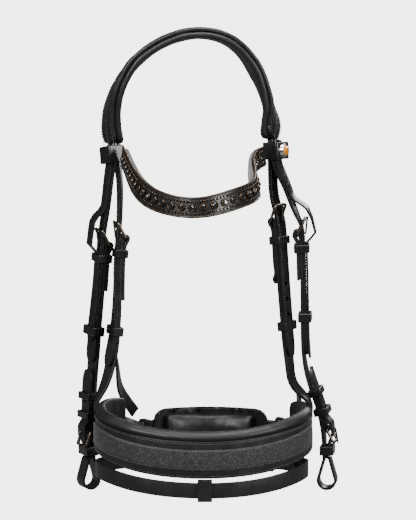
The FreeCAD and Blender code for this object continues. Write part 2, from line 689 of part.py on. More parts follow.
def slings():
    """Noseband slings: a folded main strap that ends in the noseband, and a rear leg."""
    out = {}
    for side in SIDES:
        route, z = SLING[side], SLING_Z[side]
        bar = route.at_height(z["bar"])
        nose_s = nearest(NOSE, route.frame(route.length).p)
        end = NOSE.frame(nose_s).p.z + nose_height(nose_s) / 2 + SLING_SHY
        out["noseband_sling_" + side] = folded_top(route, bar, route.at_height(end), SLING_W,
                                                   UPPER["sling"], 62)
        leg = REAR_LEG[side]
        out["rear_leg_" + side] = strap(leg, 0, leg.length, 0.0, 2.2, REAR_LEG_W)
    return out


def browband():
    route, out = BROW, {}
    out["browband_base"] = strap(route, 0, route.length, 0.0, BROW_BASE_T, BROW_H)
    out["browband_lining"] = cushion(route, 0, route.length, -BROW_LINING_T - 0.1,
                                     BROW_LINING_T, BROW_H - 0.6)
    seat = BROW_BASE_T + STONE_GAP
    count = int((route.length - STONE_PITCH) / STONE_PITCH)
    start = (route.length - (count - 1) * STONE_PITCH) / 2
    large = []
    for i in range(count):
        frame = route.frame(start + i * STONE_PITCH)
        large.append(placed(stone(STONE_D, STONE_T), frame.placement(out=seat)))
    out["browband_large_stones"] = Part.makeCompound(large)
    small = []
    count = int((route.length - 8) / SMALL_STONE_PITCH)
    start = (route.length - (count - 1) * SMALL_STONE_PITCH) / 2
    row = STONE_D / 2 + SMALL_STONE_D / 2 + 0.5
    for i in range(count):
        frame = route.frame(start + i * SMALL_STONE_PITCH)
        for across in (-row, row):
            place = frame.placement(out=seat)
            place.Base = frame.at(across, seat)
            small.append(placed(stone(SMALL_STONE_D, SMALL_STONE_T), place))
    out["browband_small_stones"] = Part.makeCompound(small)
    out["browband_loops"] = Part.makeCompound([brow_loop(side) for side in SIDES])
    place = stud_place()
    bezel = Part.makeCone(STUD_D / 2, STUD_D / 2 - 1, 3.0)
    bezel = bezel.cut(Part.makeCylinder(STUD_STONE_D / 2 + 0.1, 3.0, Vec(0, 0, 1.0)))
    out["stud_bezel"] = placed(bezel, place)
    gem = stone(STUD_STONE_D, 3.4)
    gem.Placement = FreeCAD.Placement(Vec(0, 0, 1.1), FreeCAD.Rotation())
    out["stud_crystal"] = placed(gem, place)
    return out


def stone(diameter, height):
    """Cut stone: an eight-sided crown on a short girdle."""
    def ring(radius, z):
        points = [Vec(radius * math.cos(math.pi * (i + 0.5) / 4),
                      radius * math.sin(math.pi * (i + 0.5) / 4), z) for i in range(8)]
        return Part.makePolygon(points + points[:1])
    r = diameter / 2
    return Part.makeLoft([ring(r, 0), ring(r, height * 0.35), ring(r * 0.58, height)], True, True)


BROW_LOOP_Z = {"near": -111.0, "off": -114.5}


def loop_stack():
    """Low face and height of the three billets inside a browband loop, on the sling route."""
    cheek_over_sling = 3.2 + BILLET_T
    slack = BROW_LOOP_SLACK
    return BILLET_LOW - slack, BILLET_T + cheek_over_sling + THROAT_LOW - BILLET_LOW + 2 * slack


def brow_loop(side):
    route = SLING[side]
    low, stack = loop_stack()
    s = route.at_height(BROW_LOOP_Z[side])
    frame = route.frame(s)
    w, c, k = BROW_LOOP_W / 2, BROW_LOOP_SLACK, KEEPER_T
    outer = box(-w - c - k, w + c + k, -BROW_LOOP_H / 2, BROW_LOOP_H / 2, -c - k, stack + c + k)
    inner = box(-w - c, w + c, -BROW_LOOP_H, BROW_LOOP_H, -c, stack + c)
    ring = outer.makeFillet(2.4, [e for e in outer.Edges if along_y(e)]).cut(inner)
    return placed(ring, frame.placement(out=low))


def stud_place():
    low, stack = loop_stack()
    frame = SLING["near"].frame(SLING["near"].at_height(BROW_LOOP_Z["near"]))
    return frame.placement(out=low + stack + BROW_LOOP_SLACK + KEEPER_T + 0.02)


def nose_height(s):
    """Height of the noseband's panel: lower at its sides, and lower still at its two ends."""
    side = abs(2 * s / NOSE.length - 1)
    end = max(side - NOSE_END_FROM, 0) / (1 - NOSE_END_FROM)
    return NOSE_FRONT_H + (NOSE_SIDE_H - NOSE_FRONT_H) * side ** 2 \
        + (NOSE_END_H - NOSE_SIDE_H) * end ** 2


def noseband():
    """Front panel, its padding and the trim strip."""
    route, out, total = NOSE, {}, NOSE.length
    out["noseband_panel"] = strap(route, 0, total, 0.0, NOSE_PANEL_T, nose_height)
    # The padding stands above the panel's top edge: which way that is, the route's run says.
    down = 1.0 if route.frame(total / 2).a.z < 0 else -1.0
    out["noseband_padding"] = cushion(
        route, PAD_INSET, total - PAD_INSET, -NOSE_PAD_T - 0.1, NOSE_PAD_T,
        lambda s: nose_height(s) + NOSE_ROLL, -NOSE_ROLL / 2 * down)
    out["noseband_trim"] = strap(route, TRIM_INSET, total - TRIM_INSET, NOSE_PANEL_T + 0.05,
                                 TRIM_T, TRIM_H)
    return out


def jaw_strap():
    """Crank strap round the roller and back over itself, with its buckle and keeper."""
    out, route = {}, JAW
    roller_s = route.length
    bar = roller_s - CRANK_BAR_BACK
    tip = bar - CRANK_TAIL
    r = ROLLER_R + ROLLER_ROOM

    def outer_low(s):
        f = ease((roller_s - s) / ROLLER_FALL)
        near_bar = hump(s, bar, CRANK_HUMP)
        flat = CRANK_T + LAYER_GAP
        lifted = r * 2 + CRANK_T
        fold = CRANK_OVER - CRANK_T
        under = (CHAPE_T + 2 * LAYER_GAP) * ease((bar + 6 - s) / 10.0)
        return lifted + (flat - lifted) * f + (fold - flat - under) * near_bar + under
    inner = strap(route, 0, roller_s, 0.0, CRANK_T, CRANK_W)
    frame = route.frame(roller_s)
    turn = heel_fold(frame, CRANK_T + r, 0.0, CRANK_T, CRANK_W)
    extra = [tip + 13 * f for f in (1.0, 0.7, 0.42, 0.2, 0.07)]
    extra += hump_stops(bar, CRANK_HUMP)
    extra += [roller_s - ROLLER_FALL * i / 6 for i in range(1, 7)]
    outer = strap(route, tip, roller_s, outer_low, CRANK_T,
                  lambda s: pointed(CRANK_W - 1, -tip, 13)(-s), extra)
    outer = punched(outer, route, [bar - 0.8], CRANK_T + 1, 16, HOLE_D + 1)
    out["crank_strap"] = inner.fuse([turn, outer])
    out.update(crank_hardware(route, bar, frame, r))
    return out


CRANK_BAR_OUT = CRANK_T + LAYER_GAP + CHAPE_T + HEEL_GAP + BUCKLE_R
CRANK_OVER = CRANK_BAR_OUT + BUCKLE_R + HEEL_GAP + CHAPE_T + LAYER_GAP + CRANK_T
CRANK = Buckle(CRANK_W, BUCKLE_L, CRANK_FAR_RISE, CRANK_OVER - CRANK_BAR_OUT + 0.5)


def crank_hardware(route, bar, end, r):
    out = {}
    place = route.frame(bar).placement(out=CRANK_BAR_OUT)
    out["crank_buckle"] = placed(CRANK.frame(), place)
    out["crank_prong"] = placed(CRANK.prong(), place)
    out["crank_chape"] = chape(route, bar - CRANK_CHAPE_L, bar, CRANK_T + LAYER_GAP,
                               CRANK_BAR_OUT, CRANK_W)
    stack = CRANK_T * 2 + CHAPE_T + 3 * LAYER_GAP + 1.0
    out["crank_keeper"] = keeper(route, bar - CRANK_KEEPER_BACK, CRANK_W + 0.6, -LAYER_GAP,
                                 stack, CRANK_KEEPER_L)
    half, out_at, pin_r = CRANK_W / 2 + RING_SIDE, CRANK_T + r, ROLLER_R - ROLLER_WALL
    near_bar, far_bar = end.at(0, out_at), end.at(0, out_at, RING_L)
    sides = []
    for side in (-1, 1):
        x = side * (half + pin_r)
        corners = [end.at(x, out_at), end.at(x, out_at, RING_L)]
        sides.append(rod([near_bar] + corners + [far_bar], pin_r, RING_BEND))
    out["crank_ring"] = sides[0].fuse(sides[1]).removeSplitter()
    sleeve_half = half - ROLLER_WALL
    sleeve = Part.makeCylinder(ROLLER_R, 2 * sleeve_half, end.at(-sleeve_half, out_at), end.a)
    bore = Part.makeCylinder(pin_r + ROLLER_GAP, 2 * half, end.at(-half, out_at), end.a)
    out["crank_roller"] = sleeve.cut(bore)
    out["noseband_tab"] = placed(ring_tab(pin_r), end.placement(out=out_at, along=RING_L))
    return out


def ring_tab(pin_r):
    """Leather folded round the ring's bar and stitched shut, in the bar's local axes."""
    half = CRANK_W / 2 - 1
    eye = pin_r + HEEL_GAP
    fold = Part.makeCylinder(eye + TAB_T, 2 * half, Vec(-half, 0, 0), Vec(1, 0, 0))
    tail = box(-half, half, 0, TAB_L, -TAB_T, TAB_T)
    hollow = Part.makeCylinder(eye, CRANK_W + 2, Vec(-half - 2, 0, 0), Vec(1, 0, 0))
    return fold.fuse(tail).cut(hollow)


FLASH_OVER = 2 * FLASH_T + LAYER_GAP * 2
FLASH_BUCKLE = Buckle(FLASH_W, BUCKLE_L, FLASH_OVER + FAR_GAP + BUCKLE_R - BAR_OUT,
                      FLASH_OVER - BAR_OUT)


def chin_pad():
    """Leather back that slides on the jaw strap, and its cushion against the chin."""
    middle = JAW.length - math.radians(40) * CHIN_R
    start, end = middle - CHIN_PAD_L / 2, middle + CHIN_PAD_L / 2

    def rounded(height):
        def rule(s):
            left = min(s - start, end - s) / CHIN_CORNER
            left = min(max(left, 0.0), 1.0)
            return height * (0.45 + 0.55 * math.sqrt(left * (2 - left)))
        return rule
    corner = [CHIN_CORNER * f for f in (0.1, 0.3, 0.6, 1.0)]
    extra = [start + d for d in corner] + [end - d for d in corner]
    back_low = -LOOP_GAP - CHIN_BACK_T
    back = strap(JAW, start, end, back_low, CHIN_BACK_T,
                 rounded(CHIN_PAD_H + 2 * CHIN_FLANGE), extra)
    inset = CHIN_FLANGE + 1
    pad = cushion(JAW, start + inset, end - inset, back_low - 0.1 - CHIN_PAD_T, CHIN_PAD_T,
                  rounded(CHIN_PAD_H), 0.0, [s for s in extra if start + inset < s < end - inset])
    return {"chin_pad_back": back, "chin_pad_cushion": pad}


def flash():
    """Loop under the noseband front, and the flash strap in it, buckled behind the near side."""
    out, route = {}, FLASH
    frame = route.frame(nearest(route, Vec(5, -92, FLASH_DROP)))
    play = FLASH_W / 2 * math.sin(math.radians(FLASH_SWING)) + 0.6
    w, t = FLASH_W / 2 + 0.9, FLASH_T / 2 + play
    k = FLASH_LOOP_T
    outer = box(-w - k, w + k, -FLASH_LOOP_W / 2, FLASH_LOOP_W / 2, -t - k, t + k)
    window = box(-w, w, -FLASH_LOOP_W, FLASH_LOOP_W, -t, t)
    out["flash_loop"] = placed(outer.cut(window), frame.placement(out=FLASH_T / 2))
    tip = route.length
    body = folded_top(route, 0.0, tip - FLASH_LAP, FLASH_W, FLASH_BUCKLE, FLASH_TAIL, FLASH_T)
    billet = strap(route, tip - FLASH_LAP, tip, 0.0, FLASH_T, pointed(FLASH_W, tip, 12),
                   tip_stops(tip, 12))
    start = route.frame(0.0)
    bore = Part.makeCylinder(HOLE_D / 2, 12, start.at(0, FLASH_T - 1, 0.8), start.n)
    out["flash_strap"] = body.fuse(billet.cut(bore))
    place = start.placement(out=BAR_OUT, back=True)
    out["flash_buckle"] = placed(FLASH_BUCKLE.frame(), place)
    out["flash_prong"] = placed(FLASH_BUCKLE.prong(), place)
    return out


def nearest(route, point):
    return route.curve.length(route.first, route.curve.parameter(point))


def build():
    nodes = {}
    for make in (crown, billets, browband, cheekpieces, upper_buckles, bit_ends, slings,
                 noseband, jaw_strap, chin_pad, flash):
        nodes.update(make())
    return nodes


def main():
    os.makedirs(PARTS, exist_ok=True)
    for name, shape in build().items():
        shape.exportStep(os.path.join(PARTS, name + ".step"))
        box_of = shape.BoundBox
        print("%-26s valid %s solids %2d volume %8.0f  x %.0f..%.0f y %.0f..%.0f z %.0f..%.0f" % (
            name, shape.isValid(), len(shape.Solids), shape.Volume, box_of.XMin, box_of.XMax,
            box_of.YMin, box_of.YMax, box_of.ZMin, box_of.ZMax))


if __name__ == "__main__":
    main()
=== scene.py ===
"""Looks of the snaffle bridle: leather, padding, stitching, buckles and stones on the frame."""
import logging
import math
from dataclasses import dataclass, field
from enum import Enum
from typing import Callable, Optional, Sequence

import bmesh
import bpy
from mathutils import Matrix, Vector


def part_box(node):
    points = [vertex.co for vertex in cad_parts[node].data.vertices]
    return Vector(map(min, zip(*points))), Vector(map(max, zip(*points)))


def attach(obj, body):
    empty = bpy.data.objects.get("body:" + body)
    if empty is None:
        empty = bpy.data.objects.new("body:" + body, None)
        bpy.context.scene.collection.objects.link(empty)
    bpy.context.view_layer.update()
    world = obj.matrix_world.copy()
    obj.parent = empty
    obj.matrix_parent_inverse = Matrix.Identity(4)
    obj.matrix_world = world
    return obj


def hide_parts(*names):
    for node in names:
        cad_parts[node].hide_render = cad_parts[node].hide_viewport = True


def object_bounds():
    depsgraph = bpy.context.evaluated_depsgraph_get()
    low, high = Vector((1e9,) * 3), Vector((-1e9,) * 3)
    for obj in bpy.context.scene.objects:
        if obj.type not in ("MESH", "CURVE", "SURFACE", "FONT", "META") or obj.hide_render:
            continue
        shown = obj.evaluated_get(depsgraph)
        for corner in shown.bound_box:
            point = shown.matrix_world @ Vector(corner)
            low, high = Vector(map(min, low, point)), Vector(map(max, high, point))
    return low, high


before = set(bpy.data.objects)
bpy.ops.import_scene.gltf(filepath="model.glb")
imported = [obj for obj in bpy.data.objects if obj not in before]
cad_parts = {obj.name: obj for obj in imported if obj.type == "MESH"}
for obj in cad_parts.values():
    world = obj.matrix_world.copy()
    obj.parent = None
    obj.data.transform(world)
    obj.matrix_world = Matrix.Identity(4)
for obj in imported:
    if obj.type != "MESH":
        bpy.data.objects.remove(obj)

LOG = logging.getLogger("bridle")
MM = 0.001
CAD_BOX = [list(corner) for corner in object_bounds()]


# ---- colour and nodes ------------------------------------------------------------------------
def linear(code: str, alpha: float = 1.0) -> tuple[float, float, float, float]:
    """Turn an sRGB hex code into linear colour.

    Args:
        code: six hex digits, such as "1a1816".
        alpha: the fourth value.

    Returns:
        Linear red, green, blue and alpha.
    """
    channels = [int(code[i:i + 2], 16) / 255 for i in (0, 2, 4)]
    lin = [c / 12.92 if c <= 0.04045 else ((c + 0.055) / 1.055) ** 2.4 for c in channels]
    return lin[0], lin[1], lin[2], alpha


def add_node(tree: bpy.types.NodeTree, kind: str, settings: Optional[dict] = None,
             links: Optional[dict] = None) -> bpy.types.Node:
    """Add one shader node with its settings and what is linked into it.

    Args:
        tree: the material's node tree.
        kind: the node's type name.
        settings: attribute or socket name to value.
        links: input socket name or number to the output socket that feeds it.

    Returns:
        The new node.
    """
    node = tree.nodes.new(kind)
    for name, item in (settings or {}).items():
        if hasattr(node, name):
            setattr(node, name, item)
        else:
            node.inputs[name].default_value = item
    for name, socket in (links or {}).items():
        tree.links.new(socket, node.inputs[name])
    return node


class Grain(Enum):
    """How a leather's surface was worked."""

    SMOOTH = "smooth"
    SUEDE = "suede"


@dataclass(frozen=True)
class Finish:
    """A surface: what it is made of and how it was made."""

    name: str

    def material(self) -> bpy.types.Material:
        """Build the material once and hand the same one out after that."""
        found = bpy.data.materials.get(self.name)
        if found:
            return found
        made = bpy.data.materials.new(self.name)
        made.use_nodes = True
        made.node_tree.nodes.clear()
        self.build(made.node_tree)
        return made

    def build(self, tree: bpy.types.NodeTree) -> None:
        """Fill the node tree; each kind of finish has its own."""
        raise NotImplementedError

    def close(self, tree: bpy.types.NodeTree, shader: bpy.types.Node) -> None:
        """Link the shader to the material's output."""
        add_node(tree, "ShaderNodeOutputMaterial", None, {"Surface": shader.outputs[0]})


@dataclass(frozen=True)
class Leather(Finish):
    """Dyed cowhide: hair-grain creases, fine pores, and a waxed or soft face.

    The hide's cells are about grain_mm across and its pores a quarter of that. The colour is
    mottled because dye sinks in unevenly, and the wax leaves the roughness uneven too.
    """

    colour: str = "0b0a0a"
    light: str = "151312"
    grain_mm: float = 0.9
    rough: float = 0.38
    depth: float = 0.12
    coat: float = 0.06
    grain: Grain = Grain.SMOOTH

    def build(self, tree: bpy.types.NodeTree) -> None:
        """Pebbled grain from cells, pores from noise, mottled dye and wax."""
        place = add_node(tree, "ShaderNodeTexCoord")
        where = place.outputs["Object"]
        cells = add_node(tree, "ShaderNodeTexVoronoi",
                         {"feature": "DISTANCE_TO_EDGE", "Scale": 1 / (self.grain_mm * MM)},
                         {"Vector": where})
        edge = add_node(tree, "ShaderNodeMapRange", {"From Max": 0.18},
                        {"Value": cells.outputs[0]})
        pores = add_node(tree, "ShaderNodeTexNoise",
                         {"Scale": 4 / (self.grain_mm * MM), "Detail": 4.0}, {"Vector": where})
        mottle = add_node(tree, "ShaderNodeTexNoise", {"Scale": 1 / (14 * MM), "Detail": 5.0},
                          {"Vector": where})
        height = add_node(tree, "ShaderNodeMath", {"operation": "ADD"},
                          {0: edge.outputs[0], 1: pores.outputs[0]})
        bump = add_node(tree, "ShaderNodeBump", {"Strength": self.depth, "Distance": 0.2 * MM},
                        {"Height": height.outputs[0]})
        dye = add_node(tree, "ShaderNodeMix", {"data_type": "RGBA"},
                       {"Factor": mottle.outputs[0]})
        dye.inputs[6].default_value = linear(self.colour)
        dye.inputs[7].default_value = linear(self.light)
        wax = add_node(tree, "ShaderNodeMapRange",
                       {"From Min": 0.3, "From Max": 0.7, "To Min": self.rough - 0.07,
                        "To Max": self.rough + 0.09}, {"Value": mottle.outputs[0]})
        settings = {"IOR": 1.5, "Specular IOR Level": 0.4, "Coat Weight": self.coat,
                    "Coat Roughness": 0.25}
        if self.grain is Grain.SUEDE:
            settings.update({"Sheen Weight": 0.5, "Sheen Roughness": 0.5})
        self.close(tree, add_node(tree, "ShaderNodeBsdfPrincipled", settings,
                                  {"Base Color": dye.outputs[2], "Roughness": wax.outputs[0],
                                   "Normal": bump.outputs[0]}))


@dataclass(frozen=True)
class PrintedSuede(Finish):
    """Black suede with a tonal printed motif and a fine glitter, for the noseband's inset strip.

    The motifs are motif_mm apart, drawn as soft dark patches, and a glitter flake is flake_mm.
    """

    ground: str = "100f11"
    motif: str = "050405"
    flake: str = "57555c"
    motif_mm: float = 8.5
    flake_mm: float = 0.55

    def build(self, tree: bpy.types.NodeTree) -> None:
        """Scattered dark motifs on a grey nap, with sparse bright flakes."""
        where = add_node(tree, "ShaderNodeTexCoord").outputs["Object"]
        spots = add_node(tree, "ShaderNodeTexVoronoi",
                         {"Scale": 1 / (self.motif_mm * MM), "Randomness": 0.55},
                         {"Vector": where})
        warp = add_node(tree, "ShaderNodeTexNoise", {"Scale": 1 / (2.2 * MM), "Detail": 3.0},
                        {"Vector": where})
        ragged = add_node(tree, "ShaderNodeMath", {"operation": "MULTIPLY"},
                          {0: spots.outputs["Distance"], 1: warp.outputs[0]})
        mask = add_node(tree, "ShaderNodeMapRange",
                        {"From Min": 0.13, "From Max": 0.2, "To Min": 1.0, "To Max": 0.0},
                        {"Value": ragged.outputs[0]})
        flakes = add_node(tree, "ShaderNodeTexVoronoi", {"Scale": 1 / (self.flake_mm * MM)},
                          {"Vector": where})
        bright = add_node(tree, "ShaderNodeSeparateColor", None,
                          {"Color": flakes.outputs["Color"]})
        sparse = add_node(tree, "ShaderNodeMapRange", {"From Min": 0.86, "From Max": 0.98},
                          {"Value": bright.outputs[0]})
        cloth = add_node(tree, "ShaderNodeMix", {"data_type": "RGBA"},
                         {"Factor": mask.outputs[0]})
        cloth.inputs[6].default_value = linear(self.ground)
        cloth.inputs[7].default_value = linear(self.motif)
        glitter = add_node(tree, "ShaderNodeMix", {"data_type": "RGBA"},
                           {"Factor": sparse.outputs[0], 6: cloth.outputs[2]})
        glitter.inputs[7].default_value = linear(self.flake)
        bump = add_node(tree, "ShaderNodeBump", {"Strength": 0.3, "Distance": 0.15 * MM},
                        {"Height": bright.outputs[0]})
        self.close(tree, add_node(tree, "ShaderNodeBsdfPrincipled",
                                  {"Roughness": 0.66, "Sheen Weight": 0.12, "IOR": 1.5},
                                  {"Base Color": glitter.outputs[2], "Normal": bump.outputs[0]}))


@dataclass(frozen=True)
class Metal(Finish):
    """Cast and tumbled buckle metal, plated; hairlines left by polishing."""

    colour: str = "8a7f70"
    rough: float = 0.24

    def build(self, tree: bpy.types.NodeTree) -> None:
        """Plated metal whose polish is uneven at about 3 mm, with 0.2 mm hairlines."""
        where = add_node(tree, "ShaderNodeTexCoord").outputs["Object"]
        cloud = add_node(tree, "ShaderNodeTexNoise", {"Scale": 1 / (3 * MM), "Detail": 4.0},
                         {"Vector": where})
        polish = add_node(tree, "ShaderNodeMapRange",
                          {"To Min": self.rough - 0.08, "To Max": self.rough + 0.12},
                          {"Value": cloud.outputs[0]})
        hair = add_node(tree, "ShaderNodeTexNoise", {"Scale": 1 / (0.2 * MM), "Detail": 2.0},
                        {"Vector": where})
        bump = add_node(tree, "ShaderNodeBump", {"Strength": 0.05, "Distance": 0.05 * MM},
                        {"Height": hair.outputs[0]})
        self.close(tree, add_node(tree, "ShaderNodeBsdfPrincipled",
                                  {"Base Color": linear(self.colour), "Metallic": 1.0},
                                  {"Roughness": polish.outputs[0], "Normal": bump.outputs[0]}))


@dataclass(frozen=True)
class Crystal(Finish):
    """Cut glass, foil-backed, so it throws light back from its facets."""

    colour: str = "09090c"
    metallic: float = 0.5
    rough: float = 0.05

    def build(self, tree: bpy.types.NodeTree) -> None:
        """Foil behind cut glass: a clear coat over a coloured mirror that clouds a little."""
        where = add_node(tree, "ShaderNodeTexCoord").outputs["Object"]
        cloud = add_node(tree, "ShaderNodeTexNoise", {"Scale": 1 / (2.5 * MM), "Detail": 2.0},
                         {"Vector": where})
        foil = add_node(tree, "ShaderNodeMapRange",
                        {"To Min": self.rough, "To Max": self.rough + 0.08},
                        {"Value": cloud.outputs[0]})
        self.close(tree, add_node(tree, "ShaderNodeBsdfPrincipled",
                                  {"Base Color": linear(self.colour), "Metallic": self.metallic,
                                   "Coat Weight": 1.0, "Coat Roughness": 0.02, "IOR": 1.6},
                                  {"Roughness": foil.outputs[0]}))


@dataclass(frozen=True)
class Thread(Finish):
    """Waxed linen thread: twisted strands with a dull sheen."""

    colour: str = "3a3734"
    ridge_mm: float = 2.4

    def build(self, tree: bpy.types.NodeTree) -> None:
        """Two-ply twist: one ridge in ridge_mm, coarser than the real strand so that it shows."""
        where = add_node(tree, "ShaderNodeTexCoord").outputs["Object"]
        twist = add_node(tree, "ShaderNodeTexWave",
                         {"Scale": 1 / (self.ridge_mm * MM), "Distortion": 1.0},
                         {"Vector": where})
        bump = add_node(tree, "ShaderNodeBump", {"Strength": 0.4, "Distance": 0.1 * MM},
                        {"Height": twist.outputs["Fac"]})
        self.close(tree, add_node(tree, "ShaderNodeBsdfPrincipled",
                                  {"Base Color": linear(self.colour), "Roughness": 0.55,
                                   "Sheen Weight": 0.3}, {"Normal": bump.outputs[0]}))


@dataclass(frozen=True)
class Paper(Finish):
    """Seamless pale backdrop paper, lit from behind, so that no shadow falls on it."""

    colour: str = "f6f6f5"
    glow: float = 5.0

    def build(self, tree: bpy.types.NodeTree) -> None:
        """Bright to the camera, and dim to the leather, as paper that stands far off is."""
        seen = add_node(tree, "ShaderNodeLightPath").outputs["Is Camera Ray"]
        bright = add_node(tree, "ShaderNodeEmission",
                          {"Color": linear(self.colour), "Strength": self.glow})
        matt = add_node(tree, "ShaderNodeBsdfPrincipled",
                        {"Base Color": linear("6a6a6a"), "Roughness": 0.9})
        self.close(tree, add_node(tree, "ShaderNodeMixShader", None,
                                  {0: seen, 1: matt.outputs[0], 2: bright.outputs[0]}))


BRIDLE_LEATHER = Leather("bridle leather, waxed and slicked")
BILLET_LEATHER = Leather("bridle leather, glazed billets", "080807", "11100f", 1.1, 0.28, 0.08,
                         0.12)
SOFT_LEATHER = Leather("calf leather over foam", "0c0b0b", "161514", 1.3, 0.44, 0.22, 0.03)
LINING_LEATHER = Leather("split leather lining, brushed", "2b2826", "45403b", 1.0, 0.6, 0.2, 0.0,
                         Grain.SUEDE)
PIPING_LEATHER = Leather("metallic bronze calf piping", "1b1510", "3a2c1f", 0.8, 0.36, 0.1, 0.2)
TRIM_SUEDE = PrintedSuede("printed suede with glitter")
BUCKLE_METAL = Metal("cast buckle metal, smoked nickel plate", "5f574e", 0.24)
BRONZE_SETTING = Metal("stamped brass settings, bronze plate", "4a3a2b", 0.3)
SILVER_BEZEL = Metal("turned brass bezel, silver plate", "d9d8d4", 0.16)
BLACK_CRYSTAL = Crystal("cut glass, black foil")
SMOKE_CRYSTAL = Crystal("cut glass, smoked foil", "2a221c", 0.7, 0.06)
AMBER_CRYSTAL = Crystal("cut glass, amber foil", "e08a1e", 0.35, 0.04)
BLACK_THREAD = Thread("waxed linen thread, black", "2e2b29")
BACKDROP = Paper("seamless backdrop paper")


# ---- shapes read from the frame --------------------------------------------------------------
@dataclass
class Section:
    """One cut through a strap: its middle, which way its width and outer face look, its size."""

    middle: Vector
    across: Vector
    out: Vector
    width: float
    thick: float

    def at(self, across: float, out: float) -> Vector:
        """A point on the cut, in metres from its middle.

        Args:
            across: along the width.
            out: towards the outer face.

        Returns:
            The point, in the frame.
        """
        return self.middle + self.across * across + self.out * out


def cut(node: bpy.types.Object, point: Vector, normal: Vector, side: Vector) -> list[Vector]:
    """Points where a plane cuts a CAD node's mesh, on the side of the point that is asked for.

    Args:
        node: the CAD node.
        point: a point on the plane.
        normal: the plane's normal.
        side: only points on this side of the point count; a zero vector keeps all.

    Returns:
        The points where the mesh's edges cross the plane.
    """
    mesh, found = node.data, []
    heights = [(vertex.co - point).dot(normal) for vertex in mesh.vertices]
    for edge in mesh.edges:
        a, b = edge.vertices
        if (heights[a] > 0) == (heights[b] > 0):
            continue
        share = heights[a] / (heights[a] - heights[b])
        where = mesh.vertices[a].co.lerp(mesh.vertices[b].co, share)
        if side.length == 0 or (where - point).dot(side) > 0:
            found.append(where)
    return found


def section(points: Sequence[Vector], normal: Vector, outward: Vector) -> Optional[Section]:
    """Fit a rectangle to the points of one cut.

    Args:
        points: the cut's points.
        normal: the cut plane's normal.
        outward: roughly where the outer face looks.

    Returns:
        The section, or None where the plane misses the strap.
    """
    if len(points) < 4:
        return None
    low = Vector([min(p[i] for p in points) for i in range(3)])
    high = Vector([max(p[i] for p in points) for i in range(3)])
    centre = (low + high) / 2
    u = normal.orthogonal().normalized()
    v = normal.cross(u)
    sums = [0.0, 0.0, 0.0]
    for p in points:
        x, y = (p - centre).dot(u), (p - centre).dot(v)
        sums[0] += x * x
        sums[1] += y * y
        sums[2] += x * y
    angle = 0.5 * math.atan2(2 * sums[2], sums[0] - sums[1])
    across = u * math.cos(angle) + v * math.sin(angle)
    out = normal.cross(across)
    if out.dot(outward) < 0:
        out = -out
    across = out.cross(normal).normalized()
    xs = [(p - centre).dot(across) for p in points]
    ys = [(p - centre).dot(out) for p in points]
    middle = centre + across * (max(xs) + min(xs)) / 2 + out * (max(ys) + min(ys)) / 2
    return Section(middle, across, out, max(xs) - min(xs), max(ys) - min(ys))


def falling(node: str, top: float, bottom: float, count: int, outward: Vector) -> list[Section]:
    """Level cuts down a hanging strap.

    Args:
        node: the CAD node.
        top: distance below its top where the first cut lies.
        bottom: distance above its lowest point of the last one.
        count: how many cuts.
        outward: roughly where its outer face looks.

    Returns:
        The sections, from the top down.
    """
    low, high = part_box(node)
    made = []
    for i in range(count):
        z = high[2] - top + (low[2] + bottom - high[2] + top) * i / (count - 1)
        points = cut(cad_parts[node], Vector((0, 0, z)), Vector((0, 0, 1)), Vector())
        found = section(points, Vector((0, 0, 1)), outward)
        if found:
            made.append(found)
    return made


def fanned(node: str, hub: Vector, base: Vector, axis: Vector, start: float, end: float,
           count: int) -> list[Section]:
    """Cuts through a bent strap by planes that fan out from a hub, squared up to its run.

    Args:
        node: the CAD node.
        hub: a point inside the bend.
        base: where angle 0 looks.
        axis: the axis that the planes share.
        start: angle of the first cut, in degrees.
        end: angle of the last one.
        count: how many cuts.

    Returns:
        The sections, in order of angle.
    """
    made = []
    for i in range(count):
        turn = Matrix.Rotation(math.radians(start + (end - start) * i / (count - 1)), 3, axis)
        ray = turn @ base
        normal = axis.cross(ray)
        found = section(cut(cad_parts[node], hub, normal, ray), normal, ray)
        if found:
            made.append(found)
    return squared(made)


def squared(sections: list[Section]) -> list[Section]:
    """Turn slanted cuts square to the line through their middles."""
    made = []
    for i, place in enumerate(sections):
        before, after = sections[max(i - 1, 0)], sections[min(i + 1, len(sections) - 1)]
        run = (after.middle - before.middle).normalized()
        across = (place.across - run * place.across.dot(run)).normalized()
        out = across.cross(run)
        if out.dot(place.out) < 0:
            out = -out
        lean = abs(out.dot(place.out))
        made.append(Section(place.middle, across, out, place.width, place.thick * lean))
    return made


def stretched(sections: list[Section], by: float) -> list[Section]:
    """Move the two end cuts outwards along the run, by metres."""
    made = list(sections)
    for end, beside in ((0, 1), (-1, -2)):
        place = made[end]
        run = (place.middle - made[beside].middle).normalized()
        made[end] = Section(place.middle + run * by, place.across, place.out, place.width,
                            place.thick)
    return made


# ---- pieces ----------------------------------------------------------------------------------
Shape = tuple[list[Vector], list[list[int]]]
Outline = Callable[[Section, float], list[tuple[float, float]]]


